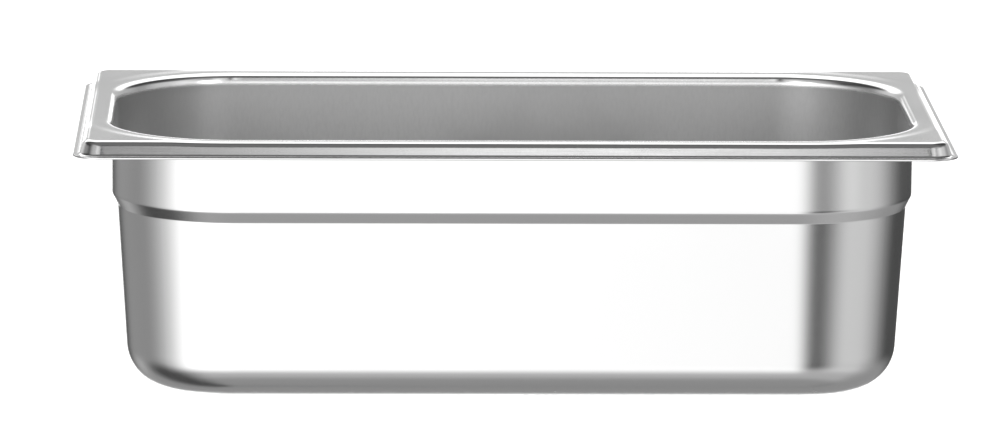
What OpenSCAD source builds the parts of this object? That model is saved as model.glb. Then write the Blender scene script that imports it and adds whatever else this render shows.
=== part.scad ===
// Deli food pan: one third size, 100 mm deep, deep drawn from a single sheet of stainless steel.
// Millimetres, +Z up, +X along the length. The origin is the middle of the flat underside.

/* [Overall size] */
// Length over the rim
pan_length = 325; // [180:1:530]
// Width over the rim
pan_width = 176; // [140:1:325]
// Height from the underside of the base to the top of the rim
pan_height = 101; // [65:1:200]
// Thickness of the sheet
sheet = 0.7; // [0.5:0.05:1]

/* [Rim] */
// Radius of the rim's corners, seen from above
rim_corner_r = 10; // [8:0.5:14]
// Distance from the rim's edge in to the outside of the wall
rim_reach = 13; // [11:0.5:18]
// Width of the trimmed lip outside the skirt
lip_width = 2.3; // [1.8:0.1:3]
// Height from the lip up to the top of the rim
rim_rise = 5.5; // [4:0.1:6.5]
// Slope of the skirt that rises from the lip, from level
skirt_angle = 72; // [60:1:80]
// Upper radius where the skirt turns over into the top of the rim
skirt_top_r = 2.8; // [1.5:0.1:3.2]
// Upper radius where the skirt runs out into the lip
skirt_foot_r = 0.9; // [0.5:0.1:1.4]

/* [Ring round the mouth] */
// Depth of the ring below the flat corners of the rim
ring_drop = 0.4; // [0.2:0.05:0.8]
// Level width of the ring inside the ramp
ring_width = 1.7; // [0.5:0.1:3]
// Width of the ramp from the ring up to the flat corners
ramp_width = 7; // [4:0.5:9]
// Length over which the rim rises from each side to the flat corners
rise_length = 14; // [8:1:24]
// Upper radius where the ring turns down into the wall
mouth_r = 4.5; // [3:0.1:6]

/* [Bowl] */
// Outside radius of the upper wall's corners, seen from above
corner_r = 46; // [34:0.5:58]
// Depth of the stacking shoulder's top edge below the top of the rim
shoulder_depth = 28; // [18:0.5:35]
// Height of the stacking shoulder
shoulder_height = 4.4; // [3.6:0.1:8]
// Step in of the wall at the stacking shoulder
shoulder_step = 2.1; // [1:0.1:3]
// Outside radius at the top of the shoulder
shoulder_top_r = 3; // [1.5:0.1:4]
// Outside radius at the foot of the shoulder
shoulder_foot_r = 1.3; // [0.6:0.1:3]
// Draft of the lower wall, from upright
wall_draft = 3.5; // [1:0.1:6]
// Outside radius where the lower wall turns into the base
base_r = 16.5; // [8:0.5:22]

/* [Hidden] */
$fn = 96;

// Room by which one form runs past the other where it only cuts
clear = 5;

// Length by which the cut along a side laps over the rising cuts at its ends
lap = 0.1;

// Hair by which a fillet's arc stands over the two sides it joins, so that it crosses them
proud = 0.0002;

// Angle by which the arc runs on past each of them
spread = 4;

// Angle by which the rounding along a side stays short of the skirt's slope, so that it crosses the skirt
short_of_skirt = 8;

// Corner axes: the bowl's corners and the rim's corners turn about these
bowl_axis = [pan_length / 2 - rim_reach - corner_r, pan_width / 2 - rim_reach - corner_r];
rim_axis = [pan_length / 2 - rim_corner_r, pan_width / 2 - rim_corner_r];

// Levels
lip_z = pan_height - rim_rise;
ring_z = pan_height - ring_drop;
shoulder_top_z = pan_height - shoulder_depth;
shoulder_foot_z = shoulder_top_z - shoulder_height;

// Distances from the rim's corner axis on the upper face
skirt_foot = rim_corner_r - lip_width;
skirt_top = skirt_foot - rim_rise / tan(skirt_angle);

// Distances from the bowl's corner axis on the outer face
shoulder_foot = corner_r - shoulder_step;
base_edge = shoulder_foot - shoulder_foot_z * tan(wall_draft);
ramp_foot = corner_r - sheet + mouth_r + ring_width;
ramp_end = ramp_foot + 2 * ramp_width;

// Along a side the rim stays at the ring's level: its rounding, as distances from the rim's corner axis
side_angle = skirt_angle - short_of_skirt;
side_foot_z = ring_z - skirt_top_r * (1 - cos(side_angle));
side_foot = skirt_foot - (side_foot_z - lip_z) / tan(skirt_angle);
side_edge = side_foot - skirt_top_r * (sin(side_angle) - tan(side_angle / 2));
side_start = ramp_foot - ring_width / 2 - (corner_r + rim_reach - rim_corner_r);

// Upper face of the rim, from the reach given down to its corner axis: points and fillets
function rim_face(reach) = [
    [reach, lip_z],
    [skirt_foot, lip_z],
    [skirt_top, pan_height],
    [0, pan_height]
];
rim_fillets = [0, skirt_foot_r, skirt_top_r, 0];

// Outer face of the bowl and lower face of its ring, from the base outwards: points and fillets
bowl_face = [
    [0, 0],
    [base_edge, 0],
    [shoulder_foot, shoulder_foot_z],
    [corner_r, shoulder_top_z],
    [corner_r, ring_z - sheet],
    [ramp_foot, ring_z - sheet],
    [ramp_end, ring_z - sheet + 2 * ring_drop]
];
bowl_fillets = [0, base_r, shoulder_foot_r, shoulder_top_r, mouth_r - sheet, 0, 0];

// Upper face of the rim along a side, from the ring outwards: points and fillets
side_face = [
    [side_start, ring_z],
    [side_edge, ring_z],
    [side_edge + rim_rise / tan(side_angle), ring_z - rim_rise]
];
side_fillets = [0, skirt_top_r, 0];

// Direction from a to b, and that direction turned a quarter to the right
function along(a, b) = (b - a) / norm(b - a);
function right_of(d) = [d.y, -d.x];

// True where the line a, b, c turns left at b
function turns_left(a, b, c) = cross(b - a, c - b) > 0;

// The line of points moved k to its right, each corner to where its two moved sides meet
function moved(path, k) = [
    for (i = [0 : len(path) - 1])
        let (
            last = len(path) - 1,
            before = right_of(along(path[max(i - 1, 0)], path[max(i, 1)])),
            after = right_of(along(path[min(i, last - 1)], path[min(i + 1, last)]))
        )
        path[i] + k * (before + after) / (1 + before * after)
];

// The fillets of that moved line: a left turn opens out and a right turn closes in
function moved_fillets(path, fillets, k) = [
    for (i = [0 : len(path) - 1])
        fillets[i] == 0 ? 0 : fillets[i] + (turns_left(path[i - 1], path[i], path[i + 1]) ? k : -k)
];

// A fillet of radius r in the corner a, b, c: where it starts, its centre and where it ends
function fillet(a, b, c, r) =
    let (
        into = along(a, b),
        out = along(b, c),
        reach = r * tan(acos(into * out) / 2),
        side = turns_left(a, b, c) ? -1 : 1,
        start = b - reach * into
    )
    [start, start + side * r * right_of(into), b + reach * out];

// The slice of a disc that a fillet's arc bounds, spread a little past both ends of the arc
module fillet_slice(f, r) {
    bulge = (f[0] + f[2]) / 2 - f[1];
    half_angle = acos(norm(bulge) / r) + spread;
    far = 2 * r;
    translate(f[1])
        rotate(atan2(bulge.y, bulge.x))
            intersection() {
                circle(r + proud);
                polygon([[0, 0], [far, -far * tan(half_angle)], [far, far * tan(half_angle)]]);
            }
}

// A region whose corners, given anticlockwise, are rounded by the fillets given
module rounded_region(points, fillets) {
    n = len(points);
    arcs = [for (i = [0 : n - 1]) fillet(points[(i + n - 1) % n], points[i], points[(i + 1) % n], fillets[i])];
    left = [for (i = [0 : n - 1]) turns_left(points[(i + n - 1) % n], points[i], points[(i + 1) % n])];
    difference() {
        union() {
            polygon([for (i = [0 : n - 1]) each fillets[i] > 0 ? [arcs[i][0], arcs[i][2]] : [points[i]]]);
            for (i = [0 : n - 1])
                if (fillets[i] > 0 && left[i])
                    fillet_slice(arcs[i], fillets[i]);
        }
        for (i = [0 : n - 1])
            if (fillets[i] > 0 && !left[i])
                fillet_slice(arcs[i], fillets[i]);
    }
}

// Carries a half section round a rectangle of corner axes, and fills the middle between two levels
module carried_round(axis, low, high) {
    translate([-axis.x, -axis.y, low])
        cube([2 * axis.x, 2 * axis.y, high - low]);
    for (quarter = [0 : 3]) {
        ahead = quarter % 2 == 0 ? axis : [axis.y, axis.x];
        rotate(90 * quarter)
            translate([ahead.x, ahead.y, 0]) {
                rotate([90, 0, 0])
                    linear_extrude(2 * ahead.y)
                        children();
                rotate_extrude(angle = 90)
                    children();
            }
    }
}

// All that lies under the rim's face, sunk by a depth into the sheet
module under_rim(depth) {
    reach = depth == 0 ? rim_corner_r : rim_corner_r + clear;
    floor_z = -clear - depth;
    face = rim_face(reach);
    carried_round(rim_axis, floor_z, pan_height - depth)
        rounded_region(
            concat(moved(face, -depth), [[0, floor_z], [reach, floor_z]]),
            concat(moved_fillets(face, rim_fillets, -depth), [0, 0])
        );
}

// All that lies inside the bowl's face and over its ring, grown by a depth into the sheet
module in_bowl(depth) {
    shift = depth - sheet;
    top_z = pan_height + clear;
    carried_round(bowl_axis, -shift, top_z)
        rounded_region(
            concat(moved(bowl_face, shift), [[ramp_end, top_z], [0, top_z]]),
            concat(moved_fillets(bowl_face, bowl_fillets, shift), [0, 0])
        );
}

// All that lies over the rim's face along a side, sunk by a depth into the sheet
module over_side(depth) {
    top_z = pan_height + clear;
    face = moved(side_face, depth);
    rounded_region(
        concat(face, [[face[2].x, top_z], [side_start, top_z]]),
        concat(moved_fillets(side_face, side_fillets, depth), [0, 0])
    );
}

// What is cut off over the four sides: level along the straight wall, then rising out of the corners
module over_sides(depth) {
    tilt = atan(ring_drop / rise_length);
    for (quarter = [0 : 3]) {
        out = quarter % 2 == 0 ? rim_axis.x : rim_axis.y;
        run = quarter % 2 == 0 ? bowl_axis.y : bowl_axis.x;
        rotate(90 * quarter)
            translate([out, 0, 0]) {
                translate([0, run + lap, 0])
                    rotate([90, 0, 0])
                        linear_extrude(2 * (run + lap))
                            over_side(depth);
                for (end = [0, 1])
                    mirror([0, end, 0])
                        translate([0, -run, ring_z])
                            rotate([90 - tilt, 0, 0])
                                linear_extrude(2 * rise_length)
                                    translate([0, -ring_z])
                                        over_side(depth);
            }
    }
}

// The die that one face of the sheet is drawn against
module die(depth) {
    difference() {
        under_rim(depth);
        in_bowl(depth);
        over_sides(depth);
    }
}

// The drawn and trimmed pan: the sheet between its upper and its lower face
module pan() {
    color([0.78, 0.79, 0.80])
        difference() {
            die(0);
            die(sheet);
        }
}

pan();
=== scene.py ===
"""A deli food pan, drawn from one sheet of stainless steel, dressed and set in a white studio.

The sheet is modelled as one closed mesh: its upper face runs from the floor of the bowl up the wall,
over the ring round the mouth and the rim to the trimmed lip, and its lower face runs back to the base.
"""

import logging
import math
from dataclasses import dataclass
from enum import Enum
from typing import Union

import bpy
import numpy as np
from mathutils import Matrix, Vector

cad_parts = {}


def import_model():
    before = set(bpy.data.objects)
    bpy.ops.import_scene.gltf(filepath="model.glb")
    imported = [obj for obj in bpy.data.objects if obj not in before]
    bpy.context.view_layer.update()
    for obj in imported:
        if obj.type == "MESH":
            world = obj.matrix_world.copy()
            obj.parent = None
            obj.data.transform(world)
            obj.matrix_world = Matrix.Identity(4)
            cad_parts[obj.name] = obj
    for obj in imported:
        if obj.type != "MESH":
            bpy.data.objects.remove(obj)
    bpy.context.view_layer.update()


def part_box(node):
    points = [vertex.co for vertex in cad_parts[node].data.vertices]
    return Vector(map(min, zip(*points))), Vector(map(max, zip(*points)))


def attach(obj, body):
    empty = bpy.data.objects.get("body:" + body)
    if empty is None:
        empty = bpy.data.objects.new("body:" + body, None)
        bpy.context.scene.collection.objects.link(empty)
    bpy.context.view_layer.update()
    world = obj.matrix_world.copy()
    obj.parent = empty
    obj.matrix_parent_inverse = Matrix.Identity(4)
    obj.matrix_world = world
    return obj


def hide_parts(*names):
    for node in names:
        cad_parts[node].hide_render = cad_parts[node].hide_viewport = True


MM = 0.001
WHITE = (1.0, 1.0, 1.0, 1.0)

log = logging.getLogger("pan")

Term = Union["Wire", float]
Socket = Union["Wire", float, tuple[float, ...]]
Row = tuple[np.ndarray, np.ndarray]


class Wire:
    """A node's output, whose operators add Math nodes to its tree."""

    def __init__(self, tree: "NodeTree", node: bpy.types.Node, output: Union[str, int]) -> None:
        """Holds one output of a node.

        Args:
            tree: the node's tree.
            node: the node.
            output: the output's name or place.
        """
        self.tree = tree
        self.node = node
        self.socket = node.outputs[output]

    def output(self, name: str) -> "Wire":
        """Gives another output of the same node."""
        return Wire(self.tree, self.node, name)

    def maths(self, operation: str, *terms: Term) -> "Wire":
        """Adds a Math node that works on the terms in order."""
        sockets = dict(enumerate(terms))
        return self.tree.add("ShaderNodeMath", {"operation": operation}, sockets, "Value")

    def __add__(self, other: Term) -> "Wire":
        """Adds a term."""
        return self.maths("ADD", self, other)

    def __sub__(self, other: Term) -> "Wire":
        """Takes a term away."""
        return self.maths("SUBTRACT", self, other)

    def __rsub__(self, other: Term) -> "Wire":
        """Is taken away from a term."""
        return self.maths("SUBTRACT", other, self)

    def __mul__(self, other: Term) -> "Wire":
        """Multiplies by a term."""
        return self.maths("MULTIPLY", self, other)

    __radd__ = __add__
    __rmul__ = __mul__

    def rising(self, low: float, high: float) -> "Wire":
        """Goes smoothly from 0 to 1 between two levels.

        Args:
            low: the level of 0, which may be the greater of the two.
            high: the level of 1.

        Returns:
            The share.
        """
        settings = {"interpolation_type": "SMOOTHSTEP"}
        limits = {"Value": self, "From Min": low, "From Max": high}
        return self.tree.add("ShaderNodeMapRange", settings, limits, "Result")


class NodeTree:
    """A material's or a world's nodes."""

    NOISE_MIDDLE = 0.5
    MIX_SHARE, MIX_LOW, MIX_HIGH, MIX_RESULT = 0, 6, 7, 2

    def __init__(self, owner: Union[bpy.types.Material, bpy.types.World]) -> None:
        """Starts an empty tree.

        Args:
            owner: the material or the world that the nodes belong to.
        """
        owner.use_nodes = True
        self.tree = owner.node_tree
        self.tree.nodes.clear()

    def add(
        self,
        kind: str,
        settings: dict[str, object] | None = None,
        sockets: dict[Union[str, int], Socket] | None = None,
        output: Union[str, int, None] = None,
    ) -> Wire | None:
        """Adds a node.

        Args:
            kind: the node's type.
            settings: its properties, which are set first.
            sockets: values or wires for its inputs, by name or by place.
            output: the output to hand on.

        Returns:
            The wire of that output, or None where no output is named.
        """
        node = self.tree.nodes.new(kind)
        for name, value in (settings or {}).items():
            setattr(node, name, value)
        for name, value in (sockets or {}).items():
            if isinstance(value, Wire):
                self.tree.links.new(value.socket, node.inputs[name])
            else:
                node.inputs[name].default_value = value
        return Wire(self, node, output) if output else None

    def scaled(self, vector: Wire, factors: tuple[float, float, float]) -> Wire:
        """Multiplies a vector by a factor along each axis."""
        sockets = {0: vector, 1: factors}
        return self.add("ShaderNodeVectorMath", {"operation": "MULTIPLY"}, sockets, "Vector")

    def noise(self, place: Wire, scale: float, detail: float) -> Wire:
        """Gives noise about zero, with its features 1 / scale across."""
        sockets = {"Vector": place, "Scale": scale, "Detail": detail}
        return self.add("ShaderNodeTexNoise", {}, sockets, "Fac") - self.NOISE_MIDDLE

    def mixed(self, share: Wire, low: Socket, high: Socket) -> Wire:
        """Mixes two colours by a share, in the Mix node's colour sockets."""
        sockets = {self.MIX_SHARE: share, self.MIX_LOW: low, self.MIX_HIGH: high}
        return self.add("ShaderNodeMix", {"data_type": "RGBA"}, sockets, self.MIX_RESULT)


class Mask(Enum):
    """The named parts of the sheet that a finish tells apart, each a mesh attribute from 0 to 1."""

    BOWL = "bowl_inside"
    CUT = "cut_edge"


@dataclass(frozen=True)
class SatinSteel:
    """Drawn stainless sheet: polished along the rim, satin outside and brushed in the bowl, whose lighter
    base colour is painted light.

    Streaks run along the draw, grain runs round the rim, and clouds are where the polish is uneven. Each
    span gives the levels of a noise between which its mark goes from nothing to full.
    """

    colour: tuple[float, float, float, float] = (0.66, 0.66, 0.66, 1.0)
    # The bowl's lighter base colour is painted light: it brightens the inside of the bowl in place of
    # more light reaching it.
    bowl_painted_light_colour: tuple[float, float, float, float] = (0.71, 0.71, 0.71, 1.0)
    clouded_colour: tuple[float, float, float, float] = (0.56, 0.56, 0.56, 1.0)
    cut_colour: tuple[float, float, float, float] = (0.33, 0.33, 0.33, 1.0)
    wall_roughness: float = 0.19
    rim_roughness: float = 0.12
    bowl_roughness: float = 0.42
    cut_roughness: float = 0.42
    rim_fade: float = 3 * MM

    streaks_per_metre: float = 1000.0
    streak_detail: float = 4.0
    streak_stretch: float = 0.35
    streak_roughness: float = 0.08
    streak_span: tuple[float, float] = (-0.2, 0.3)
    wall_streaks: float = 0.4
    wall_streak_relief: float = 0.1
    bowl_streak_colour: float = 0.28

    grain_per_metre: float = 2400.0
    grain_detail: float = 3.0
    grain_stretch: float = 0.02
    grain_roughness: float = 0.1
    grain_relief: float = 0.3

    clouds_per_metre: float = 11.0
    cloud_detail: float = 3.0
    cloud_roughness: float = 0.06
    cloud_relief: float = 0.5
    cloud_span: tuple[float, float] = (-0.1, 0.1)
    wall_clouds: float = 0.1
    bowl_clouds: float = 0.75

    scuffs_per_metre: float = 420.0
    scuff_detail: float = 2.0
    scuff_roughness: float = 0.09
    scuff_span: tuple[float, float] = (-0.05, 0.2)
    scuffed_to: float = 14 * MM

    relief_strength: float = 0.05
    relief_height: float = 0.2 * MM

    def material(self, rim_z: float) -> bpy.types.Material:
        """Makes the steel.

        Args:
            rim_z: the height of the rim's lip, in metres.

        Returns:
            The material.
        """
        steel = bpy.data.materials.new("satin_steel")
        tree = NodeTree(steel)
        place = tree.add("ShaderNodeTexCoord", output="Object")
        bowl = tree.add("ShaderNodeAttribute", {"attribute_name": Mask.BOWL.value}, output="Fac")
        cut = tree.add("ShaderNodeAttribute", {"attribute_name": Mask.CUT.value}, output="Fac")
        height = tree.add("ShaderNodeSeparateXYZ", {}, {"Vector": place}, "Z")
        rim = height.rising(rim_z - self.rim_fade, rim_z) * (1.0 - bowl)
        drawn = tree.scaled(place, (1.0, 1.0, self.streak_stretch))
        streaks = tree.noise(drawn, self.streaks_per_metre, self.streak_detail)
        polished = tree.scaled(place, (self.grain_stretch, self.grain_stretch, 1.0))
        grain = tree.noise(polished, self.grain_per_metre, self.grain_detail)
        clouds = tree.noise(place, self.clouds_per_metre, self.cloud_detail)
        scuffs = tree.noise(place, self.scuffs_per_metre, self.scuff_detail)
        scuffs = scuffs.rising(*self.scuff_span) * height.rising(self.scuffed_to, 0.0)
        roughness = (
            self.wall_roughness
            + (self.rim_roughness - self.wall_roughness) * rim
            + (self.bowl_roughness - self.wall_roughness) * bowl
            + (self.cut_roughness - self.rim_roughness) * cut
            + self.scuff_roughness * scuffs
            + self.cloud_roughness * clouds
            + self.streak_roughness * streaks * (self.wall_streaks + bowl)
            + self.grain_roughness * grain * rim
        )
        relief = (
            streaks * (self.wall_streak_relief + bowl)
            + grain * (self.grain_relief * rim)
            + self.cloud_relief * clouds
        )
        clouded = clouds.rising(*self.cloud_span) * (self.wall_clouds + self.bowl_clouds * bowl)
        streaked = streaks.rising(*self.streak_span) * (self.bowl_streak_colour * bowl)
        # Painted light: the inside of the bowl is mixed towards a lighter base colour so that it reads
        # brighter.
        colour = tree.mixed(bowl, self.colour, self.bowl_painted_light_colour)
        colour = tree.mixed(clouded, colour, self.clouded_colour)
        colour = tree.mixed(streaked, colour, self.clouded_colour)
        bump = tree.add(
            "ShaderNodeBump",
            {},
            {"Strength": self.relief_strength, "Distance": self.relief_height, "Height": relief},
            "Normal",
        )
        shader = tree.add(
            "ShaderNodeBsdfPrincipled",
            {},
            {
                "Base Color": tree.mixed(cut, colour, self.cut_colour),
                "Metallic": 1.0,
                "Roughness": roughness,
                "Normal": bump,
            },
            "BSDF",
        )
        tree.add("ShaderNodeOutputMaterial", {}, {"Surface": shader})
        return steel


@dataclass(frozen=True)
class LitFloor:
    """A pale matt table top that is lit through from below, so that shadows on it stay faint."""

    colour: tuple[float, float, float, float] = (0.8, 0.8, 0.8, 1.0)
    roughness: float = 0.8
    glow: float = 0.9

    def material(self) -> bpy.types.Material:
        """Makes the table top.

        Returns:
            The material.
        """
        floor = bpy.data.materials.new("lit_floor")
        tree = NodeTree(floor)
        shader = tree.add(
            "ShaderNodeBsdfPrincipled",
            {},
            {
                "Base Color": self.colour,
                "Roughness": self.roughness,
                "Emission Color": WHITE,
                "Emission Strength": self.glow,
            },
            "BSDF",
        )
        tree.add("ShaderNodeOutputMaterial", {}, {"Surface": shader})
        return floor


@dataclass(frozen=True)
class Profile:
    """A line in a half section of the sheet, rounded by a fillet at each point that has one.

    A fillet takes a point every TURN, or every FINE_TURN where its radius is at most FINE_RADIUS. A
    straight stretch longer than LONG has a point HOLD from each end. Fillets closer than MEETS share a
    point.
    """

    points: tuple[tuple[float, float], ...]
    fillets: tuple[float, ...]

    TURN = math.radians(6)
    FINE_TURN = math.radians(22.5)
    FINE_RADIUS = 0.4
    HOLD = 0.35
    LONG = 3 * HOLD
    MEETS = 1e-6

    def moved(self, offset: float) -> "Profile":
        """Moves the line to its right.

        Args:
            offset: the distance, which is negative to the left.

        Returns:
            The moved line, with its fillets on the same centres.
        """
        points = np.array(self.points)
        ways = np.diff(points, axis=0)
        ways /= np.linalg.norm(ways, axis=1)[:, None]
        rights = np.stack([ways[:, 1], -ways[:, 0]], axis=1)
        before = np.concatenate([rights[:1], rights])
        after = np.concatenate([rights, rights[-1:]])
        shift = (before + after) / (1 + np.sum(before * after, axis=1))[:, None]
        bends = np.sign(ways[:-1, 0] * ways[1:, 1] - ways[:-1, 1] * ways[1:, 0])
        bends = np.concatenate([[0], bends, [0]])
        fillets = [r + bend * offset if r else 0 for r, bend in zip(self.fillets, bends)]
        return Profile(tuple(map(tuple, points + offset * shift)), tuple(fillets))

    def rounded(self, i: int) -> np.ndarray:
        """Rounds one point of the line.

        Args:
            i: the point's place in the line.

        Returns:
            The points of its fillet, or the point itself where it has none.
        """
        corner = np.array(self.points[i])
        radius = self.fillets[i]
        if not radius:
            return corner[None]
        into = corner - self.points[i - 1]
        out = np.array(self.points[i + 1]) - corner
        into /= np.linalg.norm(into)
        out /= np.linalg.norm(out)
        turn = math.atan2(into[0] * out[1] - into[1] * out[0], into @ out)
        start = corner - radius * math.tan(abs(turn) / 2) * into
        inward = np.array([-into[1], into[0]]) * math.copysign(1, turn)
        centre = start + radius * inward
        steps = math.ceil(abs(turn) / (self.TURN if radius > self.FINE_RADIUS else self.FINE_TURN))
        angles = np.linspace(0, abs(turn), steps + 1)[:, None]
        return centre + radius * (np.sin(angles) * into - np.cos(angles) * inward)

    def sampled(self) -> np.ndarray:
        """Rounds the line, and holds its straight stretches at their ends to keep them flat.

        Returns:
            The line's points.
        """
        stretches = [self.rounded(i) for i in range(len(self.points))]
        line = [stretches[0]]
        for before, after in zip(stretches, stretches[1:]):
            gap = after[0] - before[-1]
            length = np.linalg.norm(gap)
            if length > self.LONG:
                hold = gap * self.HOLD / length
                line.append(np.array([before[-1] + hold, after[0] - hold]))
            line.append(after if length > self.MEETS else after[1:])
        return np.concatenate(line)


def eased(share: np.ndarray) -> np.ndarray:
    """Eases a share at both ends, as a smooth step."""
    return share ** 2 * (3 - 2 * share)


@dataclass
class Pan:
    """The pan, in millimetres: one sheet, drawn into a bowl with a shoulder and a stepped rim.

    The section runs outwards from points on the bowl's corner axes, at stations all round the pan. At the
    mouth the wall bends out to the ring by mouth_turns, in degrees, with one upper radius for each turn:
    side_mouth_r along the sides, and end_mouth_r at the ends. mouth_r and ring_width place the foot of
    the ramp, which climbs by ring_drop to the flat corners.
    """

    length: float
    width: float
    height: float
    sheet: float = 0.7

    # The rim, from its reach beyond the wall to its lip, its skirt and its trimmed edge.
    rim_corner_r: float = 10.0
    rim_reach: float = 13.0
    lip_width: float = 2.3
    rim_rise: float = 5.5
    skirt_angle: float = math.radians(72)
    skirt_top_r: float = 2.8
    skirt_foot_r: float = 1.3
    cut_r: float = 0.1

    # The ramp and the ring round the mouth, and the bends of the mouth.
    ring_drop: float = 0.4
    ring_width: float = 1.7
    ramp_width: float = 7.0
    mouth_r: float = 4.5
    mouth_turns: tuple[float, ...] = (20, 40, 22, 8)
    side_mouth_r: tuple[float, ...] = (8.0, 1.5, 4.2, 22.0)
    end_mouth_r: tuple[float, ...] = (5.0, 3.5, 4.5, 15.0)

    # The bowl: its corners, its stacking shoulder, its drafted wall and the rounding of its base.
    corner_r: float = 46.0
    shoulder_depth: float = 28.0
    shoulder_height: float = 4.4
    shoulder_step: float = 2.1
    shoulder_top_r: float = 3.0
    shoulder_foot_r: float = 1.3
    wall_draft: float = math.radians(3.5)
    base_r: float = 16.5

    # The mesh's spacing along the sides, round the corners and up the ramp.
    LONG_STEPS = 22
    SHORT_STEPS = 8
    SIDE_HOLD = 2.0
    CORNER_STEPS = 17
    RIM_CORNER_STEPS = 20
    RIM_CORNER_SPAN = math.radians(14)
    RAMP_STEPS = 16
    RAMP_CROWDING = 1.5
    LEAST_SINE = 1e-9

    # Where the bowl's and the cut's masks start, as shares of mouth_r below the ring and of cut_r.
    BOWL_STARTS = 0.35
    CUT_STARTS = 0.6

    def __post_init__(self) -> None:
        """Works out the levels, the corner axes and the stations round the pan."""
        self.lip_z = self.height - self.rim_rise
        self.ring_z = self.height - self.ring_drop
        self.axis_x = self.length / 2 - self.rim_reach - self.corner_r
        self.axis_y = self.width / 2 - self.rim_reach - self.corner_r
        self.ramp_foot = self.corner_r - self.sheet + self.mouth_r + self.ring_width
        self.grid_x = self.stops(self.axis_x, self.LONG_STEPS)
        self.grid_y = self.stops(self.axis_y, self.SHORT_STEPS)
        self.set_stations()

    def stops(self, half: float, steps: int) -> np.ndarray:
        """Gives the stations along a straight side, with one close to each end to keep it flat.

        Args:
            half: half of the side's length.
            steps: the number of spaces between the held ends.

        Returns:
            The places, from -half to half.
        """
        inner = half - self.SIDE_HOLD
        return np.concatenate([[-half], np.linspace(-inner, inner, steps + 1), [half]])

    def set_stations(self) -> None:
        """Sets each station's foot on the bowl's axes, its way out and its angle into the corner."""
        quarter = math.pi / 2
        rim_start = (quarter - self.RIM_CORNER_SPAN) / 2
        angles = np.concatenate([
            np.linspace(0, rim_start, self.CORNER_STEPS, endpoint=False),
            np.linspace(rim_start, quarter - rim_start, self.RIM_CORNER_STEPS, endpoint=False),
            np.linspace(quarter - rim_start, quarter, self.CORNER_STEPS, endpoint=False),
        ])
        feet, ways, turns = [], [], []
        for side in range(4):
            out = np.array([math.cos(side * quarter), math.sin(side * quarter)]).round()
            on = np.array([-out[1], out[0]])
            at_end = side % 2 == 0
            far = self.axis_x if at_end else self.axis_y
            places = self.grid_y if at_end else self.grid_x
            for place in places[:-1]:
                feet.append(far * out + place * on)
                ways.append(out)
                turns.append(0.0)
            for angle in angles:
                feet.append(far * out + places[-1] * on)
                ways.append(math.cos(angle) * out + math.sin(angle) * on)
                turns.append(angle)
        self.feet = np.array(feet)
        self.ways = np.array(ways)
        self.turns = np.array(turns)

    def to_rim(self, inset: np.ndarray) -> np.ndarray:
        """Measures each station's way out to the rim's outline.

        Args:
            inset: how far inside the rim's edge the outline lies, at each station.

        Returns:
            The distance from the station's foot.
        """
        cos, sin = np.cos(self.turns), np.maximum(np.sin(self.turns), self.LEAST_SINE)
        side = self.corner_r + self.rim_reach - inset
        axis = self.corner_r + self.rim_reach - self.rim_corner_r
        along = axis * (cos + sin)
        inside = along ** 2 - 2 * axis ** 2 + (self.rim_corner_r - inset) ** 2
        corner = along + np.sqrt(np.maximum(inside, 0))
        past_corner = np.where(side * cos <= axis * sin, side / sin, corner)
        return np.where(side * sin <= axis * cos, side / cos, past_corner)

    def bowl(self, depth: float, mouth_r: tuple[float, ...]) -> np.ndarray:
        """Gives the section of the bowl and its ring.

        Args:
            depth: the depth into the sheet.
            mouth_r: the upper radii of the mouth's bends.

        Returns:
            The points, from the foot point outwards.
        """
        shoulder_z = self.height - self.shoulder_depth
        foot_z = shoulder_z - self.shoulder_height
        foot = self.corner_r - self.shoulder_step
        mouth, radii = self.mouth(mouth_r)
        outer = Profile(
            (
                (0, 0),
                (foot - foot_z * math.tan(self.wall_draft), 0),
                (foot, foot_z),
                (self.corner_r, shoulder_z),
                *mouth,
                (self.ramp_foot, self.ring_z - self.sheet),
            ),
            (0, self.base_r, self.shoulder_foot_r, self.shoulder_top_r, *radii, 0),
        )
        return outer.moved(depth - self.sheet).sampled()[1:]

    def mouth(self, upper_r: tuple[float, ...]) -> tuple[list[tuple[float, float]], list[float]]:
        """Lays out the lower face where the wall bends out, step by step, to the ring.

        Args:
            upper_r: the radius of each bend on the upper face.

        Returns:
            The corners and the fillets.
        """
        at, heading = np.zeros(2), math.pi / 2
        corners, radii = [], []
        for degrees, radius in zip(self.mouth_turns, np.array(upper_r) - self.sheet):
            turn = math.radians(degrees)
            reach = radius * math.tan(turn / 2)
            corners.append(at + reach * np.array([math.cos(heading), math.sin(heading)]))
            heading -= turn
            at = corners[-1] + reach * np.array([math.cos(heading), math.sin(heading)])
            radii.append(radius)
        start = np.array([self.corner_r, self.ring_z - self.sheet - at[1]])
        return [tuple(start + corner) for corner in corners], radii

    def rim(self, top: float, depth: float) -> np.ndarray:
        """Gives the section of the rim from its crest to the middle of the cut edge, as minus the inset.

        Args:
            top: the height of the crest.
            depth: the depth into the sheet.

        Returns:
            The points, the first of them where the crest's rounding starts.
        """
        turn_in = self.skirt_top_r * math.tan(self.skirt_angle / 2)
        crest = self.lip_width + (top - self.lip_z) / math.tan(self.skirt_angle)
        face = Profile(
            (
                (-crest - turn_in - Profile.HOLD, top),
                (-crest, top),
                (-self.lip_width, self.lip_z),
                (0, self.lip_z),
            ),
            (0, self.skirt_top_r, self.skirt_foot_r, 0),
        ).moved(depth)
        edge = Profile(
            face.points + ((0, self.lip_z - self.sheet / 2),),
            face.fillets[:-1] + (self.cut_r, 0),
        )
        return edge.sampled()

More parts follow.
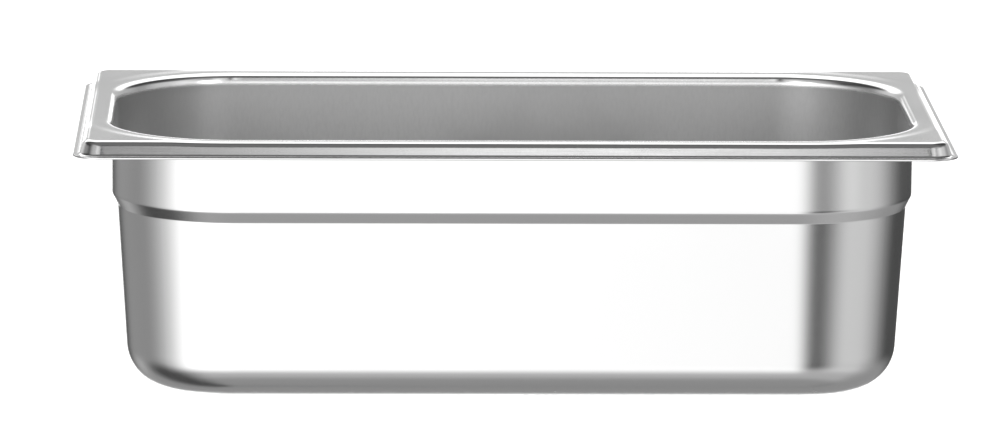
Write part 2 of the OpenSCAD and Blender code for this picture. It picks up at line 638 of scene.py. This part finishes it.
    def face_rows(self, depth: float) -> list[Row]:
        """Gives the rows of one face of the sheet, from the floor out to the middle of the cut edge.

        Args:
            depth: the depth into the sheet: 0 for the upper face, and its thickness for the lower.

        Returns:
            Each row's distances from the stations' feet, and its heights.
        """
        level = np.ones_like(self.turns)
        end = self.ways[:, 0] ** 2
        sides = self.bowl(depth, self.side_mouth_r)
        ends = self.bowl(depth, self.end_mouth_r)
        rows = [
            tuple(np.outer(on_side, 1 - end) + np.outer(on_end, end))
            for on_side, on_end in zip(sides, ends, strict=True)
        ]
        low = self.rim(self.ring_z, depth)
        high = self.rim(self.height, depth)
        crest = self.to_rim(-low[0, 0] * level)
        share = np.clip((crest - self.ramp_foot) / self.ramp_width, 0, 1)
        share = eased(share)
        crest = self.to_rim(-(low[0, 0] + (high[0, 0] - low[0, 0]) * share))
        for step in np.linspace(0, 1, self.RAMP_STEPS + 1)[1:-1]:
            reach = self.ramp_foot + (crest - self.ramp_foot) * step ** self.RAMP_CROWDING
            climb = np.clip((reach - self.ramp_foot) / self.ramp_width, 0, 1)
            climb = (climb + eased(climb)) / 2
            rows.append((reach, self.ring_z - depth + self.ring_drop * climb))
        for (low_x, low_z), (high_x, high_z) in zip(low, high):
            inset = -(low_x + (high_x - low_x) * share)
            rows.append((self.to_rim(inset), low_z + (high_z - low_z) * share))
        return rows

    def build(self) -> bpy.types.Object:
        """Builds the sheet as one closed mesh.

        Returns:
            The pan's object.
        """
        upper = self.face_rows(0)
        lower = self.face_rows(self.sheet)
        rows = upper + lower[-2::-1]
        rings = [np.column_stack([self.feet + reach[:, None] * self.ways, z]) for reach, z in rows]
        n = len(self.turns)
        grid = [(x, y) for y in self.grid_y for x in self.grid_x]
        floors = [[(x, y, z) for x, y in grid] for z in (self.sheet, 0.0)]
        points = np.concatenate(rings + [np.array(floor) for floor in floors])
        faces = []
        for k in range(len(rows) - 1):
            for i in range(n):
                j = (i + 1) % n
                faces.append((k * n + i, (k + 1) * n + i, (k + 1) * n + j, k * n + j))
        first_floor = len(rows) * n
        for floor, ring in enumerate((0, len(rows) - 1)):
            faces += self.floor_faces(first_floor + floor * len(grid), ring * n, floor == 1)
        mesh = bpy.data.meshes.new("drawn_sheet")
        mesh.from_pydata((points * MM).tolist(), [], faces)
        mesh.shade_smooth()
        self.mark(mesh, len(upper), rows)
        pan = bpy.data.objects.new("drawn_sheet", mesh)
        bpy.context.scene.collection.objects.link(pan)
        return pan

    def floor_faces(self, first: int, ring: int, under: bool) -> list[tuple[int, ...]]:
        """Gives the faces of a floor: a grid between the corner axes, joined to the ring round it.

        Args:
            first: the index of the grid's first point.
            ring: the index of the ring's first point.
            under: whether the floor is the underside.

        Returns:
            The faces, turned outwards.
        """
        nx, ny = len(self.grid_x), len(self.grid_y)
        faces = []
        for j in range(ny - 1):
            for i in range(nx - 1):
                at = first + j * nx + i
                faces.append((at, at + 1, at + nx + 1, at + nx))
        right = [first + j * nx + nx - 1 for j in range(ny)]
        back = [first + (ny - 1) * nx + nx - 1 - i for i in range(nx)]
        left = [first + (ny - 1 - j) * nx for j in range(ny)]
        front = [first + i for i in range(nx)]
        turns = 2 * self.CORNER_STEPS + self.RIM_CORNER_STEPS
        inner = []
        for side in (right, back, left, front):
            inner += side[:-1] + [side[-1]] * turns
        n = len(inner)
        for i in range(n):
            j = (i + 1) % n
            corners = (inner[i], ring + i, ring + j, inner[j])
            faces.append(corners[:3] if inner[i] == inner[j] else corners)
        return [face[::-1] for face in faces] if under else faces

    def mark(self, mesh: bpy.types.Mesh, upper: int, rows: list[Row]) -> None:
        """Writes the masks that the finish reads.

        Args:
            mesh: the pan's mesh.
            upper: the number of rows on the upper face.
            rows: all rows.
        """
        n = len(self.turns)
        grid = len(self.grid_x) * len(self.grid_y)
        bowl = np.zeros(len(mesh.vertices))
        cut = np.zeros(len(mesh.vertices))
        for k, (reach, z) in enumerate(rows):
            inside = k < upper and reach[0] < self.corner_r + self.mouth_r
            fade = np.clip((self.ring_z - z) / self.mouth_r - self.BOWL_STARTS, 0, 1)
            bowl[k * n:(k + 1) * n] = fade if inside else 0
            edge = self.to_rim(0 * reach) - reach < self.CUT_STARTS * self.cut_r
            cut[k * n:(k + 1) * n] = edge if k >= upper else 0
        bowl[len(rows) * n:len(rows) * n + grid] = 1
        for mask, values in ((Mask.BOWL, bowl), (Mask.CUT, cut)):
            attribute = mesh.attributes.new(mask.value, "FLOAT", "POINT")
            attribute.data.foreach_set("value", values.astype(np.float32))

    def dress(self, pan: bpy.types.Object, steel: SatinSteel) -> None:
        """Gives the pan its steel and its place in the frame.

        Args:
            pan: the pan's object.
            steel: the finish.
        """
        pan.data.materials.append(steel.material(self.lip_z * MM))
        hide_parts("pan")
        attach(pan, "root")


class Wall(Enum):
    """The side of the studio that a panel's azimuths are counted from, as a way along Y."""

    FRONT = -1
    BACK = 1


@dataclass(frozen=True)
class Panel:
    """A soft panel of the studio, as light between two azimuths and two elevations.

    Azimuths run from the middle of the panel's wall to the pan's right. Each limit is a pair in degrees:
    where the panel starts and where it is full.
    """

    wall: Wall
    light: float
    left: tuple[float, float]
    right: tuple[float, float]
    bottom: tuple[float, float]
    top: tuple[float, float]


@dataclass(frozen=True)
class Studio:
    """The white studio: a lit floor, and soft panels all round that only the steel mirrors."""

    ambient: float = 0.08
    floor_half: float = 30.0
    panels: tuple[Panel, ...] = (
        # The broad front that the long wall mirrors, with more light on its left.
        Panel(Wall.FRONT, 1.5, (-103, -42), (26, 2), (-50, -28), (20, 8)),
        Panel(Wall.FRONT, 0.25, (-75, -50), (-0.3, -2.5), (-45, -28), (20, 8)),
        # The dim sides that the wall's corners mirror.
        Panel(Wall.FRONT, 0.28, (-165, -135), (-60, -100), (-40, -20), (30, 12)),
        Panel(Wall.FRONT, 0.78, (28, 62), (130, 76), (-48, -22), (45, 20)),
        Panel(Wall.FRONT, 0.42, (0, 20), (75, 45), (-16, -8), (30, 12)),
        # The narrow light along the skirt, and the fills beside it for the corners of the mouth.
        Panel(Wall.FRONT, 1.5, (-2.8, 2.6), (4.9, 4.3), (14, 20), (40, 33)),
        Panel(Wall.FRONT, 0.55, (-75, -40), (-10, -30), (4, 14), (54, 36)),
        Panel(Wall.FRONT, 0.4, (10, 30), (75, 40), (4, 14), (54, 36)),
        Panel(Wall.FRONT, 0.8, (-30, -16), (-3.4, -9), (14, 20), (40, 33)),
        Panel(Wall.FRONT, 0.8, (6.4, 12), (30, 18), (14, 20), (40, 33)),
        # The two lights that glow in the far corners of the bowl.
        Panel(Wall.FRONT, 2.2, (-41, -33), (-8, -20), (1, 7), (24, 14)),
        Panel(Wall.FRONT, 3.0, (14, 24), (40, 33), (1, 7), (24, 14)),
        # The dim ceiling.
        Panel(Wall.FRONT, 0.14, (-120, -60), (120, 60), (36, 48), (96, 92)),
        # The light from the table that the shoulder and the base mirror.
        Panel(Wall.FRONT, 0.3, (-90, -32), (130, 80), (-96, -92), (-25, -40)),
        Panel(Wall.FRONT, 0.22, (-90, -32), (130, 80), (-66, -54), (-25, -38)),
        Panel(Wall.BACK, 0.3, (-70, -40), (90, 50), (-96, -92), (-14, -30)),
        # The wall behind: bright for the crest and the ring, and dimmer for the rim's flat corners.
        Panel(Wall.BACK, 1.9, (-50, -28), (38, 20), (13.5, 24), (80, 68)),
        Panel(Wall.BACK, 0.53, (-80, -50), (80, 50), (-10, -2), (30, 18)),
        Panel(Wall.BACK, 1.6, (-16, -8), (16, 8), (-60, -40), (6.5, 0)),
        # The two strips that the ends of the mouth mirror.
        Panel(Wall.BACK, 1.2, (4.8, 6.6), (9.5, 7.6), (-12, -6), (10, 7)),
        Panel(Wall.BACK, 1.2, (-6.5, -5), (-1.8, -3.6), (-12, -6), (10, 7)),
    )

    def build_world(self) -> None:
        """Makes the world: white to the camera, and the panels to all else."""
        world = bpy.data.worlds.new("studio")
        bpy.context.scene.world = world
        tree = NodeTree(world)
        way = tree.add("ShaderNodeTexCoord", output="Generated")
        x = tree.add("ShaderNodeSeparateXYZ", {}, {"Vector": way}, "X")
        y, z = x.output("Y"), x.output("Z")
        degrees = math.degrees(1)
        azimuths = {wall: x.maths("ARCTAN2", x, wall.value * y) * degrees for wall in Wall}
        elevation = z.maths("ARCSINE", z) * degrees
        light = self.ambient
        for panel in self.panels:
            azimuth = azimuths[panel.wall]
            lit = panel.light * azimuth.rising(*panel.left) * azimuth.rising(*panel.right)
            lit = lit * elevation.rising(*panel.bottom) * elevation.rising(*panel.top)
            light = light + lit
        mirrored = {"Color": WHITE, "Strength": light}
        studio = tree.add("ShaderNodeBackground", {}, mirrored, "Background")
        plain = {"Color": WHITE, "Strength": 1.0}
        white = tree.add("ShaderNodeBackground", {}, plain, "Background")
        seen = tree.add("ShaderNodeLightPath", output="Is Camera Ray")
        surface = tree.add("ShaderNodeMixShader", {}, {0: seen, 1: studio, 2: white}, "Shader")
        tree.add("ShaderNodeOutputWorld", {}, {"Surface": surface})

    def build_floor(self, finish: LitFloor) -> bpy.types.Object:
        """Lays the floor.

        Args:
            finish: the table top's finish.

        Returns:
            The floor's object.
        """
        half = self.floor_half
        corners = [(-half, -half, 0), (half, -half, 0), (half, half, 0), (-half, half, 0)]
        mesh = bpy.data.meshes.new("floor")
        mesh.from_pydata(corners, [], [(0, 1, 2, 3)])
        mesh.materials.append(finish.material())
        floor = bpy.data.objects.new("floor", mesh)
        floor.visible_glossy = False
        floor.visible_shadow = False
        bpy.context.scene.collection.objects.link(floor)
        return floor


@dataclass(frozen=True)
class PhotoCamera:
    """The camera at the photograph's viewing angle: a long lens, a little above the rim."""

    aim: tuple[float, float, float] = (-3.74 * MM, 0.0, 58.27 * MM)
    distance: float = 2.8218
    turn: float = math.radians(-1.496)
    tilt_down: float = math.radians(10.158)
    roll: float = math.radians(0.385)
    lens: float = 268.61
    sensor: float = 36.0
    sees_to: float = 100.0

    def build(self) -> None:
        """Makes the camera and gives it to the scene."""
        ahead = Vector((
            -math.sin(self.turn) * math.cos(self.tilt_down),
            math.cos(self.turn) * math.cos(self.tilt_down),
            -math.sin(self.tilt_down),
        ))
        level = Vector((math.cos(self.turn), math.sin(self.turn), 0.0))
        upright = level.cross(ahead)
        right = level * math.cos(self.roll) + upright * math.sin(self.roll)
        up = upright * math.cos(self.roll) - level * math.sin(self.roll)
        data = bpy.data.cameras.new("photo_camera")
        data.lens = self.lens
        data.sensor_fit = "HORIZONTAL"
        data.sensor_width = self.sensor
        data.clip_end = self.sees_to
        camera = bpy.data.objects.new("photo_camera", data)
        place = Matrix.Translation(Vector(self.aim) - self.distance * ahead)
        camera.matrix_world = place @ Matrix((right, up, -ahead)).transposed().to_4x4()
        bpy.context.scene.collection.objects.link(camera)
        bpy.context.scene.camera = camera


def main() -> None:
    """Loads the frame, builds the pan and sets it in the studio."""
    logging.basicConfig(level=logging.INFO, format="%(message)s")
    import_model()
    PhotoCamera().build()
    low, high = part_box("pan")
    length, width, height = (high - low) / MM
    pan = Pan(length, width, height)
    sheet = pan.build()
    pan.dress(sheet, SatinSteel())
    mesh = sheet.data
    log.info("%s: %d points, %d faces", sheet.name, len(mesh.vertices), len(mesh.polygons))
    studio = Studio()
    studio.build_world()
    floor = studio.build_floor(LitFloor())
    log.info("%s: stage", floor.name)
    bpy.context.scene.view_settings.view_transform = "Standard"


if __name__ == "__main__":
    main()
